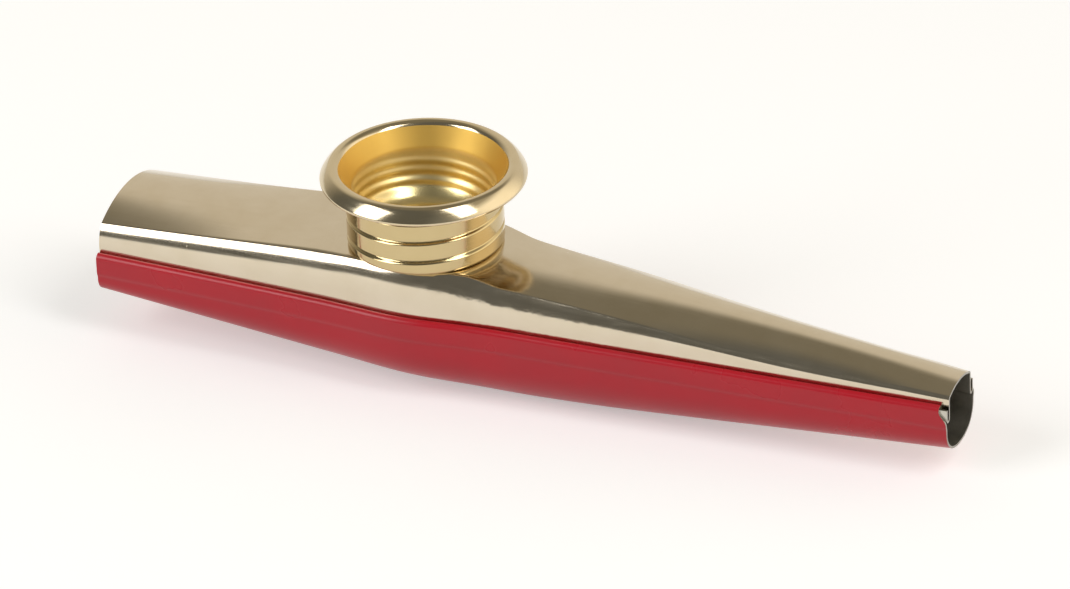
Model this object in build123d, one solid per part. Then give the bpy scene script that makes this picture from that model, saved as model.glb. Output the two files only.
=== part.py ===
from build123d import *
import os
from math import atan, atan2, degrees, radians, sin

# A pressed metal kazoo. Lengths are in millimetres. While it is built, X runs from the wide
# mouthpiece end to the narrow outlet, and Z is counted from the top of the red seam bead.

# Sheet and clearances
shell_sheet = 0.3
turret_sheet = 0.25
seam_clearance = 0.08
seat_clearance = 0.02
clinch_clearance = 0.25
thread_clearance = 0.1
ring_clearance = 0.1
overrun = 2.0

# Body, and where the turret stands on it, counted from the mouthpiece end
body_length = 120.0
turret_place = 44.3

# Lock seam between the shells, and the step in the lower wall below it
lock_depth = 3.0
step_inward = 0.2
step_radius = 1.5

# Mouthpiece end: the upper shell, then the lower one
mouth_half_width = 8.9
mouth_wall = 1.4
mouth_crown = 5.4
mouth_shoulder_radius = 2.3
mouth_side = 0.2
mouth_depth = 6.5
mouth_bilge_radius = 3.5

# The body at its fullest: wide and flat on top under the turret, deepest a little behind it
belly_half_width = 10.0
belly_wall = 5.15
belly_crown = 5.97
belly_shoulder_radius = 0.9
belly_side = 1.5
belly_depth = 12.5
belly_bilge_radius = 7.3

# Outlet end, and how far its seam lies below the seam under the turret
outlet_half_width = 3.8
outlet_wall = 0.05
outlet_crown = 1.45
outlet_shoulder_radius = 1.7
outlet_side = 0.2
outlet_depth = 8.15
outlet_bilge_radius = 4.2
outlet_drop = 1.05

# Rolled thread of the turret
thread_pitch = 2.86
thread_depth = 0.3
groove_width = 1.2

# Collar: its neck stands on a floor with a hole that is clinched through the upper shell
collar_radius = 10.45
collar_groove_count = 3
collar_base_radius = 0.5
collar_foot = 0.4
collar_lip = 0.3
floor_width = 5.3
clinch_radius = 0.3
clinch_width = 0.6

# Cap, from the turned-in foot of its sleeve up to the curl of its rim
cap_groove_count = 2
foot_width = 0.5
foot_radius = 0.4
sleeve_foot = 1.32
throat_length = 0.8
flare_radius = 1.6
flare_angle = 30.0
flare_length = 2.65
crest_radius = 0.9
crest_angle = 103.0
brow_radius = 4.85
brow_angle = 19.0
curl_radius = 0.25
curl_angle = 180.0

# Buzzing disc
film_thickness = 0.1
ring_thickness = 0.5
ring_width = 1.5

# Stations: places as shares of the way from the mouthpiece end to the turret, or from the turret
# to the outlet, and how far each size has gone from that end's value to its fullest
front_place_shares = (0.0, 0.38, 0.76, 1.0)
front_width_shares = (0.0, 0.15, 0.46, 1.0)
front_wall_shares = (0.0, 0.3, 0.74, 1.0)
front_crown_shares = (0.0, 0.3, 0.77, 1.0)
front_depth_shares = (0.0, 0.36, 0.69, 0.83)
tail_place_shares = (0.14, 0.2, 0.33, 0.53, 0.74, 1.0)
tail_width_shares = (0.74, 0.67, 0.57, 0.4, 0.23, 0.0)
tail_wall_shares = (0.74, 0.66, 0.53, 0.3, 0.1, 0.0)
tail_crown_shares = (1.0, 0.97, 0.86, 0.68, 0.42, 0.0)
tail_depth_shares = (0.95, 1.0, 0.93, 0.68, 0.36, 0.0)
corner_limit_share = 0.95
section_count = 30

# Sizes that follow from those above
seam_radius = seam_clearance + shell_sheet
seam_top = -shell_sheet / 2 - seam_radius
seam_foot = shell_sheet / 2 + seam_radius - lock_depth
step_angle = degrees(2 * atan((step_inward / (4 * step_radius - step_inward)) ** 0.5))
step_drop = 2 * step_radius * sin(radians(step_angle))
collar_wall = collar_radius - turret_sheet / 2
sleeve_wall = collar_wall - thread_depth - turret_sheet - thread_clearance
floor_hole_radius = collar_wall - floor_width

MOUTH = (mouth_half_width, mouth_wall, mouth_crown, mouth_shoulder_radius,
         mouth_side, mouth_depth, mouth_bilge_radius, 0)
BELLY = (belly_half_width, belly_wall, belly_crown, belly_shoulder_radius,
         belly_side, belly_depth, belly_bilge_radius, 0)
OUTLET = (outlet_half_width, outlet_wall, outlet_crown, outlet_shoulder_radius,
          outlet_side, outlet_depth, outlet_bilge_radius, outlet_drop)


def bent_sheet(start, heading, moves, sheet):
    """Face of a sheet seen on edge: a move is a length to run, or a radius and an angle to bend."""
    edges = []
    place = Vector(*start)
    corners = [place + Vector(0, side * sheet / 2).rotate(Axis.Z, heading) for side in (1, -1)]
    edges.append(Line(*corners))
    for move in moves:
        if isinstance(move, tuple):
            radius, angle = move
            hub = place + Vector(0, radius if angle > 0 else -radius).rotate(Axis.Z, heading)
            middles = [hub + (corner - hub).rotate(Axis.Z, angle / 2) for corner in corners]
            ends = [hub + (corner - hub).rotate(Axis.Z, angle) for corner in corners]
            edges += [ThreePointArc(*three) for three in zip(corners, middles, ends)]
            heading += angle
        else:
            ends = [corner + Vector(move, 0).rotate(Axis.Z, heading) for corner in corners]
            edges += [Line(*two) for two in zip(corners, ends)]
        corners = ends
        place = (corners[0] + corners[1]) / 2
    edges.append(Line(*corners))
    return make_face(edges)


def arch(half_width, rise, corner_radius):
    """Corner and crown bends, as radius and angle, of a three-centred arch."""
    corner = min(corner_radius, corner_limit_share * rise, corner_limit_share * half_width)
    reach = half_width - corner
    crown = (reach**2 + rise**2 - corner**2) / (2 * (rise - corner))
    half_angle = degrees(atan2(reach, crown - rise))
    return (corner, 90 - half_angle), (crown, 2 * half_angle)


def turned(bend):
    """The same bend to the right instead of the left."""
    return bend[0], -bend[1]


def stations():
    """Places along the body where its form is set, and eight rows of sizes at those places."""
    front = zip(front_width_shares, front_wall_shares, front_crown_shares, front_depth_shares)
    tail = zip(tail_width_shares, tail_wall_shares, tail_crown_shares, tail_depth_shares)
    tail_length = body_length - turret_place
    places = [share * turret_place for share in front_place_shares]
    places += [turret_place + share * tail_length for share in tail_place_shares]
    forms = [blended(MOUTH, *shares) for shares in front]
    forms += [blended(OUTLET, *shares) for shares in tail]
    return places, list(zip(*forms))


def blended(end, width_share, wall_share, crown_share, depth_share):
    """Sizes between an end of the body and its fullest form."""
    shares = (width_share, wall_share, crown_share, width_share, *[depth_share] * 3, width_share)
    return [low + share * (high - low) for low, high, share in zip(end, BELLY, shares)]


def faired(places, values, place):
    """Height at a place of a smooth curve through the values that swings past none of them."""
    steps = [(values[n + 1] - values[n]) / (places[n + 1] - places[n]) for n in range(len(places) - 1)]
    slopes = [2 * a * b / (a + b) if a * b > 0 else 0 for a, b in zip(steps, steps[1:])]
    slopes = [steps[0], *slopes, steps[-1]]
    last = max(n for n in range(len(steps)) if places[n] <= place)
    span = places[last + 1] - places[last]
    share = (place - places[last]) / span
    return hermite(values[last], values[last + 1], span * slopes[last], span * slopes[last + 1], share)


def hermite(start, end, start_slope, end_slope, share):
    """Cubic between two heights with the given slopes at its ends."""
    rest = 1 - share
    return (rest**2 * (start * (1 + 2 * share) + start_slope * share)
            + share**2 * (end * (1 + 2 * rest) - end_slope * rest))


def sections(outline):
    """Faces of a shell's outline, evenly spaced along the body."""
    places, rows = stations()
    faces = []
    for cut in [body_length * n / section_count for n in range(section_count + 1)]:
        *sizes, drop = [faired(places, row, cut) for row in rows]
        faces.append(across(cut, drop) * outline(*sizes))
    return faces


def across(place, drop):
    """Plane square to the body at a place along it, lowered by the drop, with Y to the right and Z up."""
    return Plane(origin=(place, 0, -drop), x_dir=(0, 1, 0), z_dir=(1, 0, 0))


def upper_section(half_width, wall, crown, shoulder_radius, *lower):
    """Hook, side wall, shoulder and crown of the upper shell, seen along the body."""
    middle = half_width - shell_sheet / 2
    shoulder, top = arch(middle, crown - wall - shell_sheet / 2, shoulder_radius)
    half = [seam_top - seam_foot, (seam_radius, 180), wall - seam_foot, turned(shoulder)]
    start = (-middle - 2 * seam_radius, seam_top)
    return bent_sheet(start, -90, half + [turned(top)] + half[::-1], shell_sheet)


def lower_section(half_width, wall, crown, shoulder_radius, side, depth, bilge_radius):
    """Rolled bead, stepped side wall, bilge and bottom of the lower shell, seen along the body."""
    flange = half_width + seam_clearance + shell_sheet / 2
    middle = flange + 2 * seam_radius - step_inward
    rise = depth - shell_sheet / 2 - lock_depth - step_drop - side
    bilge, bottom = arch(middle, rise, bilge_radius)
    step = [(step_radius, step_angle), (step_radius, -step_angle)]
    half = [seam_top - seam_foot, (seam_radius, 180), lock_depth + seam_top, *step, side, bilge]
    return bent_sheet((-flange, seam_foot), 90, half + [bottom] + half[::-1], shell_sheet)


def spun(start, heading, moves):
    """Sheet piece spun about the turret's axis from its section on edge."""
    section = Plane.XZ * bent_sheet(start, heading, moves, turret_sheet)
    return Pos(turret_place, 0, 0) * revolve(section, Axis.Z)


def thread_grooves(count):
    """Bends of a rolled thread: grooves pressed in towards the axis, with straight bands between."""
    swing = degrees(2 * atan(2 * thread_depth / groove_width))
    radius = groove_width / (4 * sin(radians(swing)))
    groove = [(radius, swing), (radius, -2 * swing), (radius, swing)]
    return ([thread_pitch - groove_width] + groove) * count


def make_collar(seat):
    """Threaded neck, its floor, and the hole's edge folded out under the shell at the seat."""
    tube = floor_hole_radius + turret_sheet / 2
    fold = turret_sheet / 2 + clinch_radius
    grip = shell_sheet + clinch_clearance + seat_clearance
    start = (tube + clinch_radius + clinch_width, seat + seat_clearance - grip - turret_sheet / 2)
    floor_length = collar_wall - collar_base_radius - tube - clinch_radius
    moves = [clinch_width, (clinch_radius, -90), grip + 2 * turret_sheet - 2 * fold]
    moves += [(clinch_radius, -90), floor_length, (collar_base_radius, 90), collar_foot]
    return spun(start, 180, moves + thread_grooves(collar_groove_count)[1:] + [collar_lip])


def make_cap(foot_level):
    """Cap: foot, threaded sleeve, throat, flare, and the rim rolled over and under."""
    start = (sleeve_wall - foot_radius - foot_width, foot_level + turret_sheet / 2)
    moves = [foot_width, (foot_radius, 90), sleeve_foot] + thread_grooves(cap_groove_count)[1:]
    moves += [throat_length, (flare_radius, -flare_angle), flare_length, (crest_radius, -crest_angle)]
    moves += [(brow_radius, -brow_angle), (curl_radius, -curl_angle)]
    return spun(start, 0, moves)


def disc(radius, thickness, level):
    """Round plate that lies in the turret with its underside at the level."""
    return Pos(turret_place, 0, level) * extrude(Circle(radius), thickness)


seat = belly_crown
pierce_radius = floor_hole_radius + turret_sheet + clinch_clearance
upper_shell = loft(sections(upper_section), ruled=True) - disc(pierce_radius, overrun + seat, 0)
lower_shell = loft(sections(lower_section), ruled=True)
collar = make_collar(seat)

disc_radius = collar_wall - collar_base_radius - ring_clearance
film_level = seat + turret_sheet + 2 * seat_clearance
ring_level = film_level + film_thickness + seat_clearance
membrane = disc(disc_radius, film_thickness, film_level)
membrane_ring = disc(disc_radius, ring_thickness, ring_level)
membrane_ring -= disc(disc_radius - ring_width, ring_thickness + overrun, ring_level - overrun / 2)
turret_cap = make_cap(ring_level + ring_thickness + seat_clearance)

# The finished part is centred over its length and stands on its belly.
home = Pos(-body_length / 2, 0, -lower_shell.bounding_box().min.Z)
parts = {
    "upper_shell": upper_shell,
    "lower_shell": lower_shell,
    "collar": collar,
    "turret_cap": turret_cap,
    "membrane": membrane,
    "membrane_ring": membrane_ring,
}
os.makedirs("parts", exist_ok=True)
for name, part in parts.items():
    export_step(home * part, f"parts/{name}.step")
    box = (home * part).bounding_box()
    print(name, [round(v, 3) for v in (*box.min, *box.max)])
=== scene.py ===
from math import asin, atan, atan2, cos, degrees, hypot, pi, radians, sin

import bmesh
import bpy
from mathutils import Matrix, Vector


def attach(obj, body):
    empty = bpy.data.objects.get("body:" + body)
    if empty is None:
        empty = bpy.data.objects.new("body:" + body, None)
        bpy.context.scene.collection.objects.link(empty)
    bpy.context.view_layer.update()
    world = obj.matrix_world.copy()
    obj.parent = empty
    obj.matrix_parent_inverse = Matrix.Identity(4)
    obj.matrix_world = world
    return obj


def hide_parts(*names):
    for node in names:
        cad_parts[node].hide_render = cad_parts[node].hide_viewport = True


# A pressed metal kazoo on a pale table. Sizes are in millimetres and angles in degrees, and each mesh
# is turned to metres as it is made. X runs from the mouthpiece to the outlet. The sheets follow the
# part's solids and add the forms that those leave out: the soft shoulder, the skewed and trimmed
# bead, the flat seat under the collar, the helical thread and the dished foot of the cap.

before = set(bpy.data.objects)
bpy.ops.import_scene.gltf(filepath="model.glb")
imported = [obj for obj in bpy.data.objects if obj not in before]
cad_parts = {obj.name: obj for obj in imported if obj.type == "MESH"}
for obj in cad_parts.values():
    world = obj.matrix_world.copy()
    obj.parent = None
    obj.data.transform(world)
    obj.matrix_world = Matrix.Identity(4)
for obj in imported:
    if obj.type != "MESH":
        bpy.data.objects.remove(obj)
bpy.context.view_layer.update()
MM = 0.001

# An edge that turns by more than this is left sharp
SHARP_ANGLE = 42.0

# Sheet, lock seam and the step below it
SHELL_SHEET = 0.3
TURRET_SHEET = 0.25
SEAM_CLEARANCE = 0.08
SEAM_RADIUS = 0.38
SEAM_TOP = -1.0
SEAM_FOOT = -2.47
SEAM_LEVEL = 12.852
LOCK_DEPTH = 3.0
STEP_INWARD = 0.2
STEP_RADIUS = 1.5
CORNER_LIMIT = 0.95

# Body, and where the turret stands on it, counted from the mouthpiece end
BODY_LENGTH = 120.0
TURRET_PLACE = 44.3

# Half width, wall, crown and shoulder radius of the upper shell, then side, depth and bilge radius
# of the lower one, and how far the seam drops: at the mouthpiece, at the fullest, at the outlet
MOUTH = (8.9, 1.4, 5.4, 2.1, 0.2, 6.5, 3.5, 0.0)
BELLY = (10.0, 5.15, 5.97, 0.9, 1.5, 12.5, 7.3, 0.0)
OUTLET = (3.8, 0.05, 1.45, 1.7, 0.2, 8.15, 4.2, 1.05)

# Stations on the way from the mouthpiece to the turret, then from the turret to the outlet: place,
# and how far the width, the wall, the crown and the depth have gone from that end to the fullest
FRONT_SHARES = ((0.0, 0.0, 0.0, 0.0, 0.0), (0.38, 0.15, 0.3, 0.3, 0.36), (0.76, 0.46, 0.74, 0.77, 0.69),
                (1.0, 1.0, 1.0, 1.0, 0.83))
TAIL_SHARES = ((0.14, 0.74, 0.74, 1.0, 0.95), (0.2, 0.67, 0.66, 0.97, 1.0), (0.33, 0.57, 0.53, 0.86, 0.93),
               (0.53, 0.4, 0.3, 0.68, 0.68), (0.74, 0.23, 0.1, 0.42, 0.36), (1.0, 0.0, 0.0, 0.0, 0.0))
CROSS_SECTIONS = 241
FAIRING_ROUNDS = 30

# Steps across the upper shell's half: hook, fold, wall, each of the shoulder's three bends; then its
# whole crown
HOOK_STEPS, FOLD_STEPS, WALL_STEPS, BEND_STEPS, CROWN_STEPS = 2, 12, 10, 8, 56
# Steps across the lower shell's half: flange, each half of the bead, lock, each bend of the step, side
# and bilge; then its whole bottom
FLANGE_STEPS, BEAD_STEPS, LOCK_STEPS, STEP_STEPS = 2, 8, 4, 4
SIDE_STEPS, BILGE_STEPS, BOTTOM_STEPS = 2, 20, 32

# The upper shell's shoulder is soft from the mouthpiece to past the turret: its least corner, the
# slopes where its three bends meet, how much wider the lower two are, how soft it is at the
# mouthpiece and how far on it is fully so, and where that ends. Towards the outlet the corner is
# tighter and the crown rounder
SOFT_CORNER = 1.9
SOFT_SLOPES = (66.0, 50.0)
SOFT_SHARES = (3.0, 0.6)
SOFT_START = (0.55, 22.0)
SOFT_END = (62.0, 90.0)
TAIL_CORNER_CUT = 0.5
TAIL_CORNER_RUN = (75.0, 112.0)

# The bead is rolled tighter on the side that lies against the wall
BEAD_SKEW = 0.2

# The bead is trimmed back at the outlet, over a short run of the body
BEAD_TRIM = 1.0
TRIM_RUN = 8.0

# The press flattens the top of the upper shell round the collar, and a round hole is punched there
PAD_RADIUS = 9.0
PAD_RUNOUT = 6.0
PIERCE_RADIUS = 5.525
PIERCE_STEPS = 17
PIERCE_SPREAD = 0.6

# Collar; its thread runs between two levels
SEAT = 18.822
SEAT_CLEARANCE = 0.02
CLINCH_CLEARANCE = 0.25
CLINCH_RADIUS = 0.3
CLINCH_WIDTH = 0.6
COLLAR_WALL = 10.325
COLLAR_BASE_RADIUS = 0.5
HOLE_RADIUS = 5.025
NECK_LENGTH = 7.32
NECK_LIP = 0.3
NECK_STEPS = 160
NECK_THREAD_ENDS = (SEAT + 0.6, SEAT + 9.0)

# Rolled thread: one helix for the collar and the cap, with its level at a bearing round the turret,
# and the reach above and below its deepest line, the depth and the number of grooves to a pitch,
# on the neck and on the cap's sleeve
THREAD_PITCH = 2.86
GROOVE_LEVEL = 21.0
GROOVE_BEARING = -65.0
NECK_GROOVE = (0.25, 0.52, 0.38, 1)
SLEEVE_GROOVE = (0.715, 0.715, 0.2, 2)
RUNOUT = 1.2
# Only sheet that rises takes the thread: up to this heading, a degree past upright for rounding
RISING_LIMIT = 91.0

# Cap; its foot is a dish, and its thread runs between two levels
SLEEVE_WALL = 9.675
CAP_FOOT = 19.752
FOOT_WIDTH = 0.3
FOOT_RADIUS = 4.3
SLEEVE_LENGTH = 1.48
FOOT_STEPS, SLEEVE_STEPS = 68, 26
SLEEVE_THREAD_ENDS = (CAP_FOOT + 0.5, CAP_FOOT + 6.8)
THROAT_LENGTH = 0.8
FLARE_RADIUS, FLARE_ANGLE, FLARE_LENGTH = 1.6, 30.0, 2.65
CREST_RADIUS, CREST_ANGLE = 0.9, 103.0
BROW_RADIUS, BROW_ANGLE = 4.85, 19.0
CURL_RADIUS, CURL_ANGLE = 0.25, 180.0
STEPS_ROUND = 240

# Camera: where it stands, how the picture is shifted, what it aims at, and its lens
AZIMUTH, ELEVATION, ROLL, DISTANCE = 25.27, 29.82, -2.09, 1111.79
SHIFT_RIGHT, SHIFT_UP = 0.16, -0.64
AIM = (0.0, 0.0, 12.602)
FOCAL_PIXELS, PICTURE_PIXELS, SENSOR_WIDTH = 8438.69, 1070, 36.0

# Half the side of the table, in metres
TABLE_HALF = 3.0


def linear(hex_colour):
    """Linear colour with full alpha from an sRGB hex value."""
    parts = [int(hex_colour[n:n + 2], 16) / 255 for n in (1, 3, 5)]
    return [p / 12.92 if p <= 0.04045 else ((p + 0.055) / 1.055) ** 2.4 for p in parts] + [1.0]


def add(tree, kind, sockets=None, **settings):
    """A shader node with its settings; a socket takes a plain value or another node's output."""
    made = tree.nodes.new("ShaderNode" + kind)
    for name, value in settings.items():
        setattr(made, name, value)
    for key, value in (sockets or {}).items():
        if isinstance(value, bpy.types.NodeSocket):
            tree.links.new(value, made.inputs[key])
        else:
            made.inputs[key].default_value = value
    return made


def blank_material(name):
    """An empty material with its shader tree, and coordinates in millimetres."""
    material = bpy.data.materials.new(name)
    material.use_nodes = True
    tree = material.node_tree
    tree.nodes.clear()
    place = add(tree, "TexCoord")
    grid = add(tree, "Mapping", {"Vector": place.outputs["Object"], "Scale": [1 / MM] * 3})
    return material, tree, grid.outputs["Vector"]


def centreline(start, heading, moves):
    """Points and headings along a sheet seen on edge. A move is a run (length, steps) or a
    bend (radius, angle, steps)."""
    point = Vector(start)
    line = [(point.copy(), heading)]
    for *size, steps in moves:
        for _ in range(steps):
            turn = size[1] / steps if len(size) == 2 else 0.0
            stride = 2 * size[0] * sin(radians(abs(turn)) / 2) if turn else size[0] / steps
            along = radians(heading + turn / 2)
            point = point + stride * Vector((cos(along), sin(along)))
            heading += turn
            line.append((point.copy(), heading))
    return line


def two_faces(line, sheet):
    """Rows of points on the left and the right face of a sheet."""
    sides = [Vector((-sin(radians(h)), cos(radians(h)))) * sheet / 2 for p, h in line]
    left = [p + s for (p, h), s in zip(line, sides)]
    right = [p - s for (p, h), s in zip(line, sides)]
    return left, right


def smooth_step(value, low, high):
    """Rises softly from nought at the low value to one at the high one."""
    share = min(1.0, max(0.0, (value - low) / (high - low)))
    return share * share * (3 - 2 * share)


def arch(half_width, rise, corner_radius, tight=1.0):
    """Corner and crown bends, as radius and angle, of a three-centred arch."""
    corner = tight * min(corner_radius, CORNER_LIMIT * rise, CORNER_LIMIT * half_width)
    reach = half_width - corner
    crown = (reach**2 + rise**2 - corner**2) / (2 * (rise - corner))
    half_angle = degrees(atan2(reach, crown - rise))
    return (corner, 90 - half_angle), (crown, 2 * half_angle)


def upper_line(cut, sizes):
    """Hook, side wall, shoulder and crown of the upper shell. Where it is soft, the shoulder is
    fuller, and rounds more slowly into the wall than into the crown."""
    half_width, wall, crown, shoulder_radius = sizes[:4]
    middle = half_width - SHELL_SHEET / 2
    least, run = SOFT_START
    soft = (least + (1 - least) * smooth_step(cut, 0, run)) * (1 - smooth_step(cut, *SOFT_END))
    tight = 1 - TAIL_CORNER_CUT * smooth_step(cut, *TAIL_CORNER_RUN)
    (corner, _), (top, _) = arch(middle, crown - wall - SHELL_SHEET / 2, shoulder_radius, tight)
    corner += soft * max(0.0, SOFT_CORNER - corner)
    lean = asin((middle - corner) / (top - corner))
    slopes = [pi / 2] + [max(radians(slope), lean) for slope in SOFT_SLOPES]
    bends = [corner * (1 + soft * share) for share in SOFT_SHARES]
    reach = sum(bend * (sin(a) - sin(b)) for bend, a, b in zip(bends, slopes, slopes[1:]))
    bends.append((corner * (1 - sin(lean)) - reach) / (sin(slopes[-1]) - sin(lean)))
    slopes.append(lean)
    shoulder = list(zip(bends, slopes, slopes[1:]))
    fall = top * (1 - cos(lean)) + sum(bend * (cos(b) - cos(a)) for bend, a, b in shoulder)
    half = [(SEAM_TOP - SEAM_FOOT, HOOK_STEPS), (SEAM_RADIUS, 180, FOLD_STEPS),
            (crown - SHELL_SHEET / 2 - fall - SEAM_FOOT, WALL_STEPS)]
    half += [(bend, degrees(b - a), BEND_STEPS) for bend, a, b in shoulder]
    start = (-middle - 2 * SEAM_RADIUS, SEAM_TOP)
    return centreline(start, -90, half + [(top, -2 * degrees(lean), CROWN_STEPS)] + half[::-1])


def lower_line(_, sizes):
    """Rolled bead, stepped side wall, bilge and bottom of the lower shell."""
    half_width = sizes[0]
    side, depth, bilge_radius = sizes[4:]
    flange = half_width + SEAM_CLEARANCE + SHELL_SHEET / 2
    middle = flange + 2 * SEAM_RADIUS - STEP_INWARD
    step_angle = degrees(2 * atan((STEP_INWARD / (4 * STEP_RADIUS - STEP_INWARD)) ** 0.5))
    step_drop = 2 * STEP_RADIUS * sin(radians(step_angle))
    rise = depth - SHELL_SHEET / 2 - LOCK_DEPTH - step_drop - side
    bilge, bottom = arch(middle, rise, bilge_radius)
    half = [(SEAM_TOP + BEAD_SKEW - SEAM_FOOT, FLANGE_STEPS), (SEAM_RADIUS - BEAD_SKEW, 90, BEAD_STEPS),
            (SEAM_RADIUS + BEAD_SKEW, 90, BEAD_STEPS), (LOCK_DEPTH + SEAM_TOP - BEAD_SKEW, LOCK_STEPS),
            (STEP_RADIUS, step_angle, STEP_STEPS), (STEP_RADIUS, -step_angle, STEP_STEPS),
            (side, SIDE_STEPS), (*bilge, BILGE_STEPS)]
    return centreline((-flange, SEAM_FOOT), 90, half + [(*bottom, BOTTOM_STEPS)] + half[::-1])


def blended(end, shares):
    """Sizes between an end of the body and its fullest form."""
    width, wall, crown, depth = shares
    steps = (width, wall, crown, width, depth, depth, depth, width)
    return [low + step * (high - low) for low, high, step in zip(end, BELLY, steps)]


def faired(places, values, place):
    """Height at a place of a smooth curve through the values that swings past none of them."""
    steps = [(values[n + 1] - values[n]) / (places[n + 1] - places[n]) for n in range(len(places) - 1)]
    slopes = [2 * a * b / (a + b) if a * b > 0 else 0 for a, b in zip(steps, steps[1:])]
    slopes = [steps[0], *slopes, steps[-1]]
    last = max(n for n in range(len(steps)) if places[n] <= place)
    span = places[last + 1] - places[last]
    share = (place - places[last]) / span
    rest = 1 - share
    return (rest**2 * (values[last] * (1 + 2 * share) + span * slopes[last] * share)
            + share**2 * (values[last + 1] * (1 + 2 * rest) - span * slopes[last + 1] * rest))


def along_body():
    """Places along the body and the eight sizes of its cross-section at each."""
    places = [share[0] * TURRET_PLACE for share in FRONT_SHARES]
    places += [TURRET_PLACE + share[0] * (BODY_LENGTH - TURRET_PLACE) for share in TAIL_SHARES]
    forms = [blended(MOUTH, share[1:]) for share in FRONT_SHARES]
    forms += [blended(OUTLET, share[1:]) for share in TAIL_SHARES]
    cuts = [BODY_LENGTH * n / (CROSS_SECTIONS - 1) for n in range(CROSS_SECTIONS)]
    rows = [[faired(places, row, cut) for cut in cuts] for row in zip(*forms)]
    for row in rows:
        for _ in range(FAIRING_ROUNDS):
            row[1:-1] = [(a + 2 * b + c) / 4 for a, b, c in zip(row, row[1:], row[2:])]
    return cuts, list(zip(*rows))


def pierced_cells():
    """First and last section, and first and last point across, of the square that the hole takes."""
    step = BODY_LENGTH / (CROSS_SECTIONS - 1)
    ends = [round((TURRET_PLACE + side * PIERCE_RADIUS) / step) for side in (-1, 1)]
    middle = HOOK_STEPS + FOLD_STEPS + WALL_STEPS + 3 * BEND_STEPS + CROWN_STEPS // 2
    return ends[0], ends[1], middle - PIERCE_STEPS, middle + PIERCE_STEPS


def round_the_hole(along, aside, reach_along, reach_aside):
    """Where a point goes, counted from the turret's axis, so that the square becomes the round hole."""
    u, v = along / reach_along, aside / reach_aside
    size = max(abs(u), abs(v))
    if size < 1 - 1e-9 or size > 1 + PIERCE_SPREAD:
        return along, aside
    keep = smooth_step(size, 1, 1 + PIERCE_SPREAD)
    ring = (1 - keep) * PIERCE_RADIUS * size / hypot(u, v)
    return along * keep + u * ring, aside * keep + v * ring


def seated(cut, line, cuts):
    """Places and line of an upper section, with the flat seat pressed round the collar."""
    first, last, low, _ = pierced_cells()
    places, pressed = [], []
    for point, heading in line:
        along = cut - TURRET_PLACE
        reach = abs((cuts[last] if along > 0 else cuts[first]) - TURRET_PLACE)
        along, aside = round_the_hole(along, point.x, reach, abs(line[low][0].x))
        upward = max(0.0, cos(radians(heading))) if point.y > 0 else 0.0
        rise = BELLY[2] - SHELL_SHEET / 2 - point.y
        keep = 1 - smooth_step(hypot(along, aside), PAD_RADIUS, PAD_RADIUS + PAD_RUNOUT)
        places.append(TURRET_PLACE + along)
        pressed.append((Vector((aside, point.y + rise * upward**2 * keep)), heading))
    return places, pressed


def trimmed(cut, line):
    """Places of a lower section's points, with the bead cut back near the outlet."""
    back = BEAD_TRIM * max(0.0, (cut - BODY_LENGTH + TRIM_RUN) / TRIM_RUN)
    whole = FLANGE_STEPS + 2 * BEAD_STEPS
    edges = [min(k, len(line) - 1 - k) for k in range(len(line))]
    return [cut - back * (1 - smooth_step(k, whole, whole + LOCK_STEPS)) for k in edges]


def pressed_shell(name, outline, outer_row, finishes, node):
    """A shell pressed from sheet, with finishes for its outside, its inside and its cut edges. The
    outer row tells which face of the line is outside: nought for the left, one for the right."""
    cuts, sizes = along_body()
    points, faces, kinds = [], [], []
    for cut, (*size, drop) in zip(cuts, sizes):
        line = [(p - Vector((0, drop)), h) for p, h in outline(cut, size)]
        if outline is upper_line:
            places, line = seated(cut, line, cuts)
        else:
            places = trimmed(cut, line)
        left, right = two_faces(line, SHELL_SHEET)
        both = zip(places + places[::-1], left + right[::-1])
        points += [Vector((x - BODY_LENGTH / 2, p.x, p.y + SEAM_LEVEL)) for x, p in both]
    half = len(left)
    loop = 2 * half
    first, last, low, high = pierced_cells() if outline is upper_line else (0, 0, 0, 0)
    for n in range(len(cuts) - 1):
        for k in range(loop):
            cell = k if k < half else loop - 2 - k
            if first <= n < last and low <= cell < high:
                continue
            a, b = n * loop + k, n * loop + (k + 1) % loop
            faces.append((a, b, b + loop, a + loop))
            row = 0 if k < half - 1 else 1
            kinds.append(2 if k in (half - 1, loop - 1) else int(row != outer_row))
    for start in (0, (len(cuts) - 1) * loop):
        for k in range(half - 1):
            faces.append((start + k, start + k + 1, start + loop - 2 - k, start + loop - 1 - k))
            kinds.append(2)
    edge = [((n, k), (n + 1, k)) for n in range(first, last) for k in (low, high)]
    edge += [((n, k), (n, k + 1)) for n in (first, last) for k in range(low, high)]
    for (n, k), (m, j) in edge:
        faces.append((n * loop + k, m * loop + j, m * loop + loop - 1 - j, n * loop + loop - 1 - k))
        kinds.append(2)
    finished_piece(name, points, faces, finishes, kinds, "body", node)


def finished_piece(name, points, faces, finishes, kinds, body, node):
    """A smooth mesh object that stands for a node and rides on its body."""
    mesh = bpy.data.meshes.new(name)
    mesh.from_pydata([p * MM for p in points], [], faces)
    for material in finishes:
        mesh.materials.append(material)
    mesh.polygons.foreach_set("material_index", kinds)
    mesh.polygons.foreach_set("use_smooth", [True] * len(faces))
    work = bmesh.new()
    work.from_mesh(mesh)
    bmesh.ops.delete(work, geom=[v for v in work.verts if not v.link_faces], context="VERTS")
    bmesh.ops.recalc_face_normals(work, faces=work.faces)
    work.to_mesh(mesh)
    work.free()
    mesh.set_sharp_from_angle(angle=radians(SHARP_ANGLE))
    piece = bpy.data.objects.new(name, mesh)
    bpy.context.scene.collection.objects.link(piece)
    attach(piece, body)
    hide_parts(node)


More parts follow.
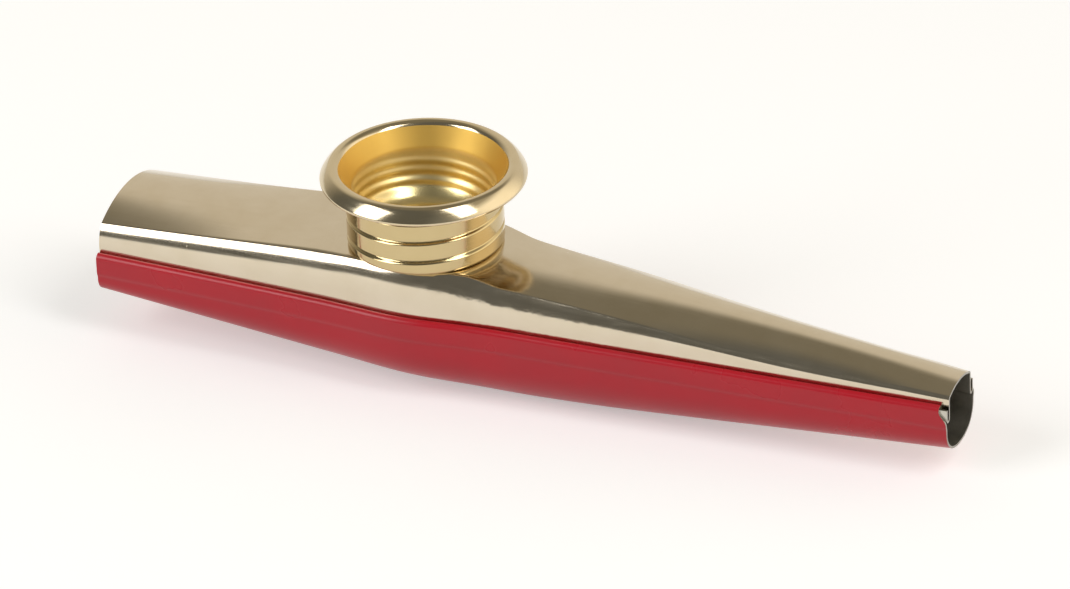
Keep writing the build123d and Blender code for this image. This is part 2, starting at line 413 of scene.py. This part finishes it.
def thread(level, low, high, groove, turn):
    """How far the rolled thread is pressed in at a level, for a turn round the axis. Its grooves
    climb one pitch in each turn, as a right-hand screw does, and run out at both levels."""
    above, below, depth, starts = groove
    apart = THREAD_PITCH / starts
    centre = GROOVE_LEVEL + THREAD_PITCH * (turn - GROOVE_BEARING / 360)
    off = (level - centre + apart / 2) % apart - apart / 2
    reach = above if off > 0 else below
    if abs(off) > reach:
        return 0.0
    middle = level - off
    fade = smooth_step(middle, low, low + RUNOUT) * (1 - smooth_step(middle, high - RUNOUT, high))
    return depth * fade * cos(pi / 2 * off / reach) ** 2


def spun_piece(name, line, low, high, groove, lining, finishes, body, slot, node):
    """A sheet piece spun about the turret's axis, with a thread between two levels. The finishes are
    for the sheet, its cut edges and its lining, which covers the left face for the first steps of the
    line, as many as the lining counts."""
    left, right = two_faces(line, TURRET_SHEET)
    ring = left + right[::-1]
    points, faces, kinds = [], [], []
    for n in range(STEPS_ROUND):
        turn = n / STEPS_ROUND
        for k, p in enumerate(ring):
            middle, heading = line[min(k, len(ring) - 1 - k)]
            steep = sin(radians(heading)) ** 2 if 0 < heading < RISING_LIMIT else 0.0
            radius = p.x - steep * thread(middle.y, low, high, groove, turn)
            points.append(Vector((TURRET_PLACE - BODY_LENGTH / 2 + radius * cos(2 * pi * turn),
                                  radius * sin(2 * pi * turn), p.y)))
    loop = len(ring)
    for n in range(STEPS_ROUND):
        for k in range(loop):
            a, b = n * loop + k, n * loop + (k + 1) % loop
            c = (n + 1) % STEPS_ROUND * loop
            faces.append((a, b, c + (k + 1) % loop, c + k))
            edge = k in (loop // 2 - 1, loop - 1)
            kinds.append(1 if edge else 2 if k < lining else 0)
    finished_piece(name, points, faces, finishes, kinds, body, node)


def collar_line():
    """Fold under the shell, floor and neck of the collar."""
    tube = HOLE_RADIUS + TURRET_SHEET / 2
    grip = SHELL_SHEET + CLINCH_CLEARANCE + SEAT_CLEARANCE
    start = (tube + CLINCH_RADIUS + CLINCH_WIDTH, SEAT + SEAT_CLEARANCE - grip - TURRET_SHEET / 2)
    floor = COLLAR_WALL - COLLAR_BASE_RADIUS - tube - CLINCH_RADIUS
    moves = [(CLINCH_WIDTH, 2), (CLINCH_RADIUS, -90, 6), (grip + TURRET_SHEET - 2 * CLINCH_RADIUS, 1),
             (CLINCH_RADIUS, -90, 6), (floor, 3), (COLLAR_BASE_RADIUS, 90, 10),
             (NECK_LENGTH, NECK_STEPS), (NECK_LIP, 2)]
    return centreline(start, 180, moves)


def cap_line():
    """Foot, sleeve, throat, flare and rolled rim of the cap, and the count of steps to its crest."""
    start = (SLEEVE_WALL - FOOT_RADIUS - FOOT_WIDTH, CAP_FOOT + TURRET_SHEET / 2)
    inner = [(FOOT_WIDTH, 2), (FOOT_RADIUS, 90, FOOT_STEPS), (SLEEVE_LENGTH, SLEEVE_STEPS),
             (THROAT_LENGTH, 4), (FLARE_RADIUS, -FLARE_ANGLE, 12), (FLARE_LENGTH, 10)]
    rim = [(CREST_RADIUS, -CREST_ANGLE, 40), (BROW_RADIUS, -BROW_ANGLE, 12), (CURL_RADIUS, -CURL_ANGLE, 20)]
    return centreline(start, 0, inner + rim), sum(move[-1] for move in inner)


def stretched(tree, grid, scale, turn=0.0):
    """Coordinates drawn out by a scale along each axis, and turned about Z by an angle in radians."""
    return add(tree, "Mapping", {"Vector": grid, "Scale": scale, "Rotation": (0, 0, turn)}).outputs["Vector"]


def noise(tree, place, size, detail, **sockets):
    """Cloudy noise with spots of a size in the units of the place."""
    sockets.update({"Vector": place, "Scale": 1 / size, "Detail": detail})
    return add(tree, "TexNoise", sockets).outputs["Fac"]


def ramp(tree, value, low, high, start=0.0, end=1.0, soft=False):
    """Goes from start to end, evenly or softly, while a value goes from low to high."""
    sockets = {"Value": value, "From Min": low, "From Max": high, "To Min": start, "To Max": end}
    way = "SMOOTHSTEP" if soft else "LINEAR"
    return add(tree, "MapRange", sockets, interpolation_type=way).outputs["Result"]


def product(tree, first, second, plus=0.0):
    """One value times another, plus a third."""
    return add(tree, "Math", {0: first, 1: second, 2: plus}, operation="MULTIPLY_ADD").outputs[0]


def mixed(tree, share, first, second):
    """A colour between two, hex values or other sockets, by a share from nought to one."""
    first, second = [linear(c) if isinstance(c, str) else c for c in (first, second)]
    return add(tree, "Mix", {0: share, 6: first, 7: second}, data_type="RGBA").outputs[2]


def surface(tree, colour, rough, height, sockets=None):
    """Ends a material: its shader, with a bump from heights in metres."""
    bump = add(tree, "Bump", {"Strength": 1.0, "Distance": 1.0, "Height": height})
    shader = add(tree, "BsdfPrincipled", {"Base Color": colour, "Roughness": rough,
                                          "Normal": bump.outputs[0], **(sockets or {})})
    add(tree, "OutputMaterial", {"Surface": shader.outputs[0]})


def plated_steel(name, colour, worn_colour, polish, wrinkle):
    """Steel sheet with a thin gold-toned plating, pressed or spun, then polished. It mirrors what is
    round it in a warm tint, drawn out along faint polishing lines, over slow waves left by the tool.
    Where the press crowds the sheet beyond the turret, fine wrinkles break the mirror up."""
    material, tree, grid = blank_material(name)
    wave = noise(tree, grid, 14, 1.0)
    lines = noise(tree, stretched(tree, grid, polish), 1, 3.0)
    haze = noise(tree, grid, 5, 4.0, Roughness=0.6)
    crumple = noise(tree, grid, 1.6, 2.0)
    pits = add(tree, "TexVoronoi", {"Vector": grid, "Scale": 1 / 1.3, "Randomness": 1.0})
    pit = ramp(tree, pits.outputs["Distance"], 0.03, 0.1, 1.0, 0.0)
    chance = add(tree, "SeparateColor", {"Color": pits.outputs["Color"]})
    rare = add(tree, "Math", {0: chance.outputs["Red"], 1: 0.86}, operation="GREATER_THAN")

    # the crowded stretch: from the turret towards the outlet, on both shoulders
    where = add(tree, "SeparateXYZ", {"Vector": grid})
    aside = add(tree, "Math", {0: where.outputs["Y"]}, operation="ABSOLUTE")
    begins = ramp(tree, where.outputs["X"], -14.0, -4.0, soft=True)
    ends = ramp(tree, where.outputs["X"], 4.0, 34.0, 1.0, 0.05, soft=True)
    shoulder = ramp(tree, aside.outputs[0], 4.5, 8.0, 0.05, 1.0, soft=True)
    crowd = product(tree, product(tree, begins, ends), shoulder)

    height = product(tree, wave, 20e-6)
    height = product(tree, product(tree, crumple, crowd), wrinkle, height)
    height = product(tree, lines, 0.5e-6, height)
    height = product(tree, product(tree, pit, rare.outputs[0]), -10e-6, height)
    tint = mixed(tree, ramp(tree, haze, 0.35, 0.75, 0.0, 0.4), colour, worn_colour)
    surface(tree, tint, ramp(tree, lines, 0.3, 0.7, 0.10, 0.18), height, {"Metallic": 1.0})
    return material


def gold_lacquer():
    """Clear yellow lacquer over the plated inside of the cap. It warms and softens what the metal
    mirrors, and shows the spinning lines under it. On the flare it is duller, and its colour is painted
    deeper: a painted shade for the darker gold that the flare mirrors from inside the cap."""
    material, tree, grid = blank_material("gold lacquer on spun steel")
    lines = noise(tree, stretched(tree, grid, (0.1, 0.1, 4.0)), 1, 3.0)
    runs = noise(tree, grid, 4, 3.0)
    level = add(tree, "SeparateXYZ", {"Vector": grid}).outputs["Z"]
    # painted shade: the colour deepens up the flare for the darker gold it mirrors; the runs vary the tone
    # at random
    flare = ramp(tree, level, 26.2, 27.4, soft=True)
    coat = add(tree, "Math", {0: runs, 1: 0.3, 2: flare}, operation="MULTIPLY_ADD", use_clamp=True)
    tint = mixed(tree, coat.outputs[0], "#F6E4AC", "#E2BC62")
    rough = product(tree, runs, 0.12, ramp(tree, level, 21.0, 27.0, 0.18, 0.5))
    height = product(tree, lines, 1.5e-6, product(tree, runs, 8e-6))
    surface(tree, tint, rough, height, {"Metallic": 1.0})
    return material


def stoved_enamel():
    """Red enamel sprayed on tinplate and stoved. A satin skin with a fine orange peel: soft broad
    highlights, a little lighter where the coat is thin, and specks of dust caught in it."""
    material, tree, grid = blank_material("stoved red enamel")
    peel = noise(tree, grid, 0.6, 2.0)
    flow = noise(tree, grid, 9, 3.0)
    dust = add(tree, "TexVoronoi", {"Vector": grid, "Scale": 1 / 2.4})
    speck = ramp(tree, dust.outputs["Distance"], 0.02, 0.07, 1.0, 0.0)
    tint = mixed(tree, ramp(tree, flow, 0.3, 0.7), "#C01729", "#B6202E")
    rough = ramp(tree, flow, 0.3, 0.7, 0.26, 0.34)
    height = product(tree, speck, 3e-6, product(tree, peel, 2e-6))
    surface(tree, tint, rough, height, {"IOR": 1.5, "Specular IOR Level": 0.45})
    return material


def bare_tinplate(name, colour, stained_colour, smooth):
    """Tinplate with no plating or paint: a grey sheen with dull stains and rolling lines."""
    material, tree, grid = blank_material(name)
    stain = noise(tree, grid, 3, 4.0)
    lines = noise(tree, stretched(tree, grid, (0.05, 2.0, 2.0)), 1, 2.0)
    tint = mixed(tree, ramp(tree, stain, 0.35, 0.7), colour, stained_colour)
    rough = ramp(tree, stain, 0.3, 0.7, smooth, smooth + 0.15)
    height = product(tree, lines, 2e-6, product(tree, stain, 6e-6))
    surface(tree, tint, rough, height, {"Metallic": 1.0})
    return material


def waxed_film():
    """Thin waxed film, stretched and pressed flat. It lets light through, has a dull shine broken by
    slack creases, and cloudy patches where the wax is thicker."""
    material, tree, grid = blank_material("waxed membrane film")
    cloud = noise(tree, grid, 3, 4.0)
    crease = add(tree, "TexVoronoi", {"Vector": grid, "Scale": 1 / 4}, feature="DISTANCE_TO_EDGE")
    fold = ramp(tree, crease.outputs["Distance"], 0.0, 0.12, 1.0, 0.0, soft=True)
    tint = mixed(tree, cloud, "#E8D49C", "#DCC280")
    rough = ramp(tree, cloud, 0.3, 0.7, 0.25, 0.45)
    height = product(tree, fold, 12e-6, product(tree, cloud, 20e-6))
    surface(tree, tint, rough, height, {"IOR": 1.45, "Transmission Weight": 0.4})
    return material


def punched_card():
    """Brown card, rolled and punched to a ring: matt, with short fibres of lighter and darker
    pulp. The fibres are drawn thicker than real ones, so that they show."""
    material, tree, grid = blank_material("punched brown card")
    fibre = noise(tree, stretched(tree, grid, (1.2, 5.0, 3.0), 0.6), 1, 5.0, Roughness=0.7)
    tint = mixed(tree, ramp(tree, fibre, 0.3, 0.7), "#A88C58", "#C2A872")
    surface(tree, tint, ramp(tree, fibre, 0.3, 0.7, 0.75, 0.92), product(tree, fibre, 15e-6))
    return material


def table_paper():
    """White paper on the table: the camera and the metal see it as white, and it keeps the shadow."""
    material, tree, _ = blank_material("white table paper")
    path = add(tree, "LightPath").outputs
    seen = add(tree, "Math", {0: path["Is Camera Ray"], 1: path["Is Glossy Ray"]}, operation="MAXIMUM")
    seen = add(tree, "Math", {0: seen.outputs[0], 1: path["Is Transmission Ray"]}, operation="MAXIMUM")
    matt = add(tree, "BsdfDiffuse", {"Color": linear("#E4E4E4")})
    glow = add(tree, "Emission", {"Color": (1, 1, 1, 1), "Strength": product(tree, seen.outputs[0], 0.4)})
    both = add(tree, "AddShader", {0: matt.outputs[0], 1: glow.outputs[0]})
    add(tree, "OutputMaterial", {"Surface": both.outputs[0]})
    return material


def studio_walls():
    """The room round the table: a pale warm wall behind it, higher to the left, dim grey in front
    and a little less dim above, and all of it lighter to the right."""
    world = bpy.data.worlds.new("studio")
    bpy.context.scene.world = world
    world.use_nodes = True
    tree = world.node_tree
    tree.nodes.clear()
    way = add(tree, "TexCoord").outputs["Generated"]
    sides = add(tree, "SeparateXYZ", {"Vector": way}).outputs
    back = add(tree, "VectorMath", {0: way, 1: (0.26, 0.97, 0.0)}, operation="DOT_PRODUCT")
    behind = back.outputs["Value"]
    left = add(tree, "Math", {0: sides["X"], 1: 0.0}, operation="MINIMUM")
    upward = product(tree, left.outputs[0], 0.35, sides["Z"])
    wall = ramp(tree, behind, -0.35, 0.45, soft=True)
    fall = ramp(tree, upward, 0.5, 0.74, 1.0, 0.0, soft=True)
    dim = mixed(tree, ramp(tree, behind, -0.45, 0.1, soft=True), "#6A6A66", "#898374")
    tint = mixed(tree, product(tree, wall, fall), dim, "#E4DCCC")
    window = ramp(tree, sides["X"], 0.3, 0.75, 1.0, 1.9, soft=True)
    light = add(tree, "Background", {"Color": tint, "Strength": window})
    add(tree, "OutputWorld", {"Surface": light.outputs[0]})


def softbox(name, bearing, elevation, size, glow):
    """A soft rectangular lamp a metre from the object, at a bearing from +X and an elevation, with its
    size in metres and how bright its face looks."""
    bearing, elevation = radians(bearing), radians(elevation)
    away = Vector((cos(elevation) * cos(bearing), cos(elevation) * sin(bearing), sin(elevation)))
    lamp = bpy.data.lights.new(name, "AREA")
    lamp.shape, lamp.size, lamp.size_y = "RECTANGLE", size[0], size[1]
    lamp.energy = glow * pi * size[0] * size[1]
    holder = bpy.data.objects.new(name, lamp)
    holder.location = away
    holder.rotation_mode = "QUATERNION"
    holder.rotation_quaternion = (-away).to_track_quat("-Z", "Y")
    bpy.context.scene.collection.objects.link(holder)


def set_camera():
    """The photograph's view."""
    azimuth, elevation, roll = radians(AZIMUTH), radians(ELEVATION), radians(ROLL)
    right = Vector((cos(azimuth), sin(azimuth), 0))
    up = Vector((-sin(azimuth) * sin(elevation), cos(azimuth) * sin(elevation), cos(elevation)))
    back = right.cross(up)
    side = right * cos(roll) + up * sin(roll)
    top = up * cos(roll) - right * sin(roll)
    place = Vector(AIM) - side * SHIFT_RIGHT - top * SHIFT_UP + back * DISTANCE
    camera = bpy.data.objects.new("camera", bpy.data.cameras.new("camera"))
    camera.data.sensor_width = SENSOR_WIDTH
    camera.data.lens = FOCAL_PIXELS / PICTURE_PIXELS * SENSOR_WIDTH
    camera.data.sensor_fit = "HORIZONTAL"
    camera.data.clip_start, camera.data.clip_end = 0.05, 20
    turn = Matrix((side, top, back)).transposed()
    camera.matrix_world = Matrix.Translation(place * MM) @ turn.to_4x4()
    bpy.context.scene.collection.objects.link(camera)
    bpy.context.scene.camera = camera


shell_plate = plated_steel("plated pressed steel", "#D8CCB7", "#C9BA9E", (0.03, 3.0, 3.0), 45e-6)
neck_plate = plated_steel("plated spun steel neck", "#CDB98C", "#C0AA78", (0.12, 0.12, 5.0), 0.0)
cap_plate = plated_steel("plated spun steel cap", "#D8C9AA", "#CCB992", (0.12, 0.12, 5.0), 0.0)
lacquer = gold_lacquer()
enamel = stoved_enamel()
inside = bare_tinplate("dull tinplate inside", "#CFCBC0", "#A8A398", 0.35)
cut_edge = bare_tinplate("sheared steel edge", "#B4B0A8", "#918C83", 0.3)

pressed_shell("upper_shell_sheet", upper_line, 0, [shell_plate, inside, cut_edge],
              "upper_shell")
pressed_shell("lower_shell_sheet", lower_line, 1, [enamel, inside, cut_edge],
              "lower_shell")
spun_piece("collar_neck", collar_line(), *NECK_THREAD_ENDS, NECK_GROOVE, 0,
           [neck_plate, cut_edge], "body", "turret_plate", "collar")
cap_sheet, lining = cap_line()
spun_piece("cap_spinning", cap_sheet, *SLEEVE_THREAD_ENDS, SLEEVE_GROOVE, lining,
           [cap_plate, cut_edge, lacquer], "cap", "turret_plate", "turret_cap")
for node, finish in (("membrane", waxed_film()), ("membrane_ring", punched_card())):
    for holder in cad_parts[node].material_slots:
        holder.material = finish

floor_mesh = bpy.data.meshes.new("table")
corners = [(x * TABLE_HALF, y * TABLE_HALF, 0) for x, y in ((-1, -1), (1, -1), (1, 1), (-1, 1))]
floor_mesh.from_pydata(corners, [], [(0, 1, 2, 3)])
floor_mesh.materials.append(table_paper())
floor = bpy.data.objects.new("table", floor_mesh)
bpy.context.scene.collection.objects.link(floor)

studio_walls()
softbox("left softbox", -132, 33, (0.45, 0.69), 4.5)
softbox("right softbox", -15, 48, (0.32, 0.66), 4.5)
set_camera()
bpy.context.scene.view_settings.view_transform = "Standard"
